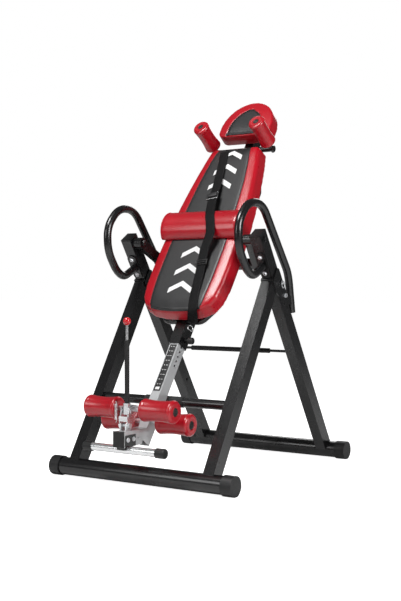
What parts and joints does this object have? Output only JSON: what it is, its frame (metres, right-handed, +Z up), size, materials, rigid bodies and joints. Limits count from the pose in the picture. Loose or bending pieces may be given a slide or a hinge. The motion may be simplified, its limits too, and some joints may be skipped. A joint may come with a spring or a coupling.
{
  "type": "inversion table",
  "caption": "Folding A-frame with a padded bed that tilts head-down about two side pivots, an adjustable leg tube with a sprung ankle-roller clamp, looped handles and a sliding headrest.",
  "frame": {"origin": "on the floor, midway between the sides and midway between the foremost and rearmost points", "axes": "+X across the table to the viewer's right when facing it from the foot end, +Y from the foot end to the head end, +Z up"},
  "size_m": [0.73, 0.9685, 1.3579],
  "materials": {
    "black_tube": "satin black powder coat",
    "black_plastic": "moulded black",
    "black_foam": "closed-cell foam sleeve",
    "zinc_steel": "zinc plated",
    "chromed_steel": "chrome plated",
    "silver_tube": "silver lacquer",
    "red_vinyl": "gloss red vinyl",
    "board": "black-stained board",
    "black_webbing": "woven webbing",
    "lever_grip_foam": "ribbed black grip",
    "red_ball": "gloss"
  },
  "bodies": {
    "rear_frame": {"rear_legs": "black_tube", "rear_base_tube": "black_tube", "rear_base_caps": "black_plastic", "post_caps": "black_plastic", "handle_left": "black_tube", "handle_right": "black_tube", "handle_bolts": "zinc_steel", "limiter_rod": "black_tube", "limiter_sleeve": "black_foam", "pivot_bolts": "zinc_steel", "fold_hinge_bolts": "zinc_steel"},
    "front_frame": {"front_legs": "black_tube", "front_base_tube": "black_tube", "front_base_caps": "black_plastic", "front_leg_collars": "black_plastic", "fold_hinge_plates_left": "black_tube", "fold_hinge_plates_right": "black_tube", "front_crossbar": "black_tube", "crossbar_stop_sleeve": "black_foam"},
    "bed": {"sleeve_tube": "black_tube", "backboard": "board", "cushion": "red_vinyl", "back_rails": "black_tube", "pivot_arms": "black_tube", "pivot_bushes": "black_plastic", "lumbar_pillow": "red_vinyl", "belt": "black_webbing", "belt_hardware": "black_plastic", "shoulder_frame": "black_tube", "shoulder_plugs": "black_plastic", "shoulder_rollers": "red_vinyl", "head_clamp_knob": "black_plastic"},
    "leg_tube": {"leg_tube": "silver_tube", "height_scale_strip": "black_plastic", "rear_axle": "zinc_steel", "boom": "silver_tube", "boom_end_cap": "black_plastic", "foot_bar_bracket": "black_tube", "foot_bar_bolts": "zinc_steel", "foot_bar": "chromed_steel", "foot_bar_caps": "black_plastic", "clamp_pin": "zinc_steel"},
    "clamp_arm": {"clamp_arm": "chromed_steel", "front_axle": "zinc_steel", "lever_pin": "zinc_steel", "clamp_spring": "zinc_steel"},
    "lever": {"lever_fork": "chromed_steel", "lever_grip": "lever_grip_foam", "lever_rod": "chromed_steel", "lever_ball": "red_ball"},
    "height_pin": {"height_pin": "black_plastic"},
    "headrest": {"head_pad": "red_vinyl", "head_board": "board", "head_stem": "black_tube"},
    "lock_pin_left": {"fold_lock_pin_left": "zinc_steel"},
    "lock_pin_right": {"fold_lock_pin_right": "zinc_steel"},
    "rear_roller_left": {"rear_roller_left": "red_vinyl"},
    "rear_roller_right": {"rear_roller_right": "red_vinyl"},
    "front_roller_left": {"front_roller_left": "red_vinyl"},
    "front_roller_right": {"front_roller_right": "red_vinyl"}
  },
  "joints": [
    {"name": "fold", "type": "hinge", "parent": "rear_frame", "child": "front_frame", "pos_m": [0, 0.09066, 0.61801], "axis": [1, 0, 0], "range_deg": [0, 62]},
    {"name": "tilt", "type": "hinge", "parent": "rear_frame", "child": "bed", "pos_m": [0, -0.05114, 0.80831], "axis": [-1, 0, 0], "range_deg": [0, 88]},
    {"name": "height_adjust", "type": "slide", "parent": "bed", "child": "leg_tube", "axis": [0, -0.5701, -0.8215], "range_m": [-0.0555, 0.0555]},
    {"name": "clamp_open", "type": "hinge", "parent": "leg_tube", "child": "clamp_arm", "pos_m": [0, -0.44525, 0.204], "axis": [1, 0, 0], "range_deg": [0, 35], "deforming": ["clamp_spring"]},
    {"name": "lever_swing", "type": "hinge", "parent": "clamp_arm", "child": "lever", "pos_m": [0, -0.43525, 0.249], "axis": [-1, 0, 0], "range_deg": [0, 7], "stiffness_Nm_per_rad": 12},
    {"name": "height_pin_pull", "type": "slide", "parent": "bed", "child": "height_pin", "axis": [1, 0, 0], "range_m": [0, 0.01], "stiffness_N_per_m": 400, "springref_m": -0.003},
    {"name": "headrest_slide", "type": "slide", "parent": "bed", "child": "headrest", "axis": [0, 0.5701, 0.8215], "range_m": [0, 0.05]},
    {"name": "lock_pull_left", "type": "slide", "parent": "front_frame", "child": "lock_pin_left", "axis": [-1, 0, 0], "range_m": [0, 0.012], "stiffness_N_per_m": 400, "springref_m": -0.003},
    {"name": "lock_pull_right", "type": "slide", "parent": "front_frame", "child": "lock_pin_right", "axis": [1, 0, 0], "range_m": [0, 0.012], "stiffness_N_per_m": 400, "springref_m": -0.003},
    {"name": "rear_roller_left_spin", "type": "hinge", "parent": "leg_tube", "child": "rear_roller_left", "pos_m": [0, -0.32023, 0.20246], "axis": [1, 0, 0], "continuous": true},
    {"name": "rear_roller_right_spin", "type": "hinge", "parent": "leg_tube", "child": "rear_roller_right", "pos_m": [0, -0.32023, 0.20246], "axis": [1, 0, 0], "continuous": true},
    {"name": "front_roller_left_spin", "type": "hinge", "parent": "clamp_arm", "child": "front_roller_left", "pos_m": [0, -0.41225, 0.254], "axis": [1, 0, 0], "continuous": true},
    {"name": "front_roller_right_spin", "type": "hinge", "parent": "clamp_arm", "child": "front_roller_right", "pos_m": [0, -0.41225, 0.254], "axis": [1, 0, 0], "continuous": true}
  ]
}
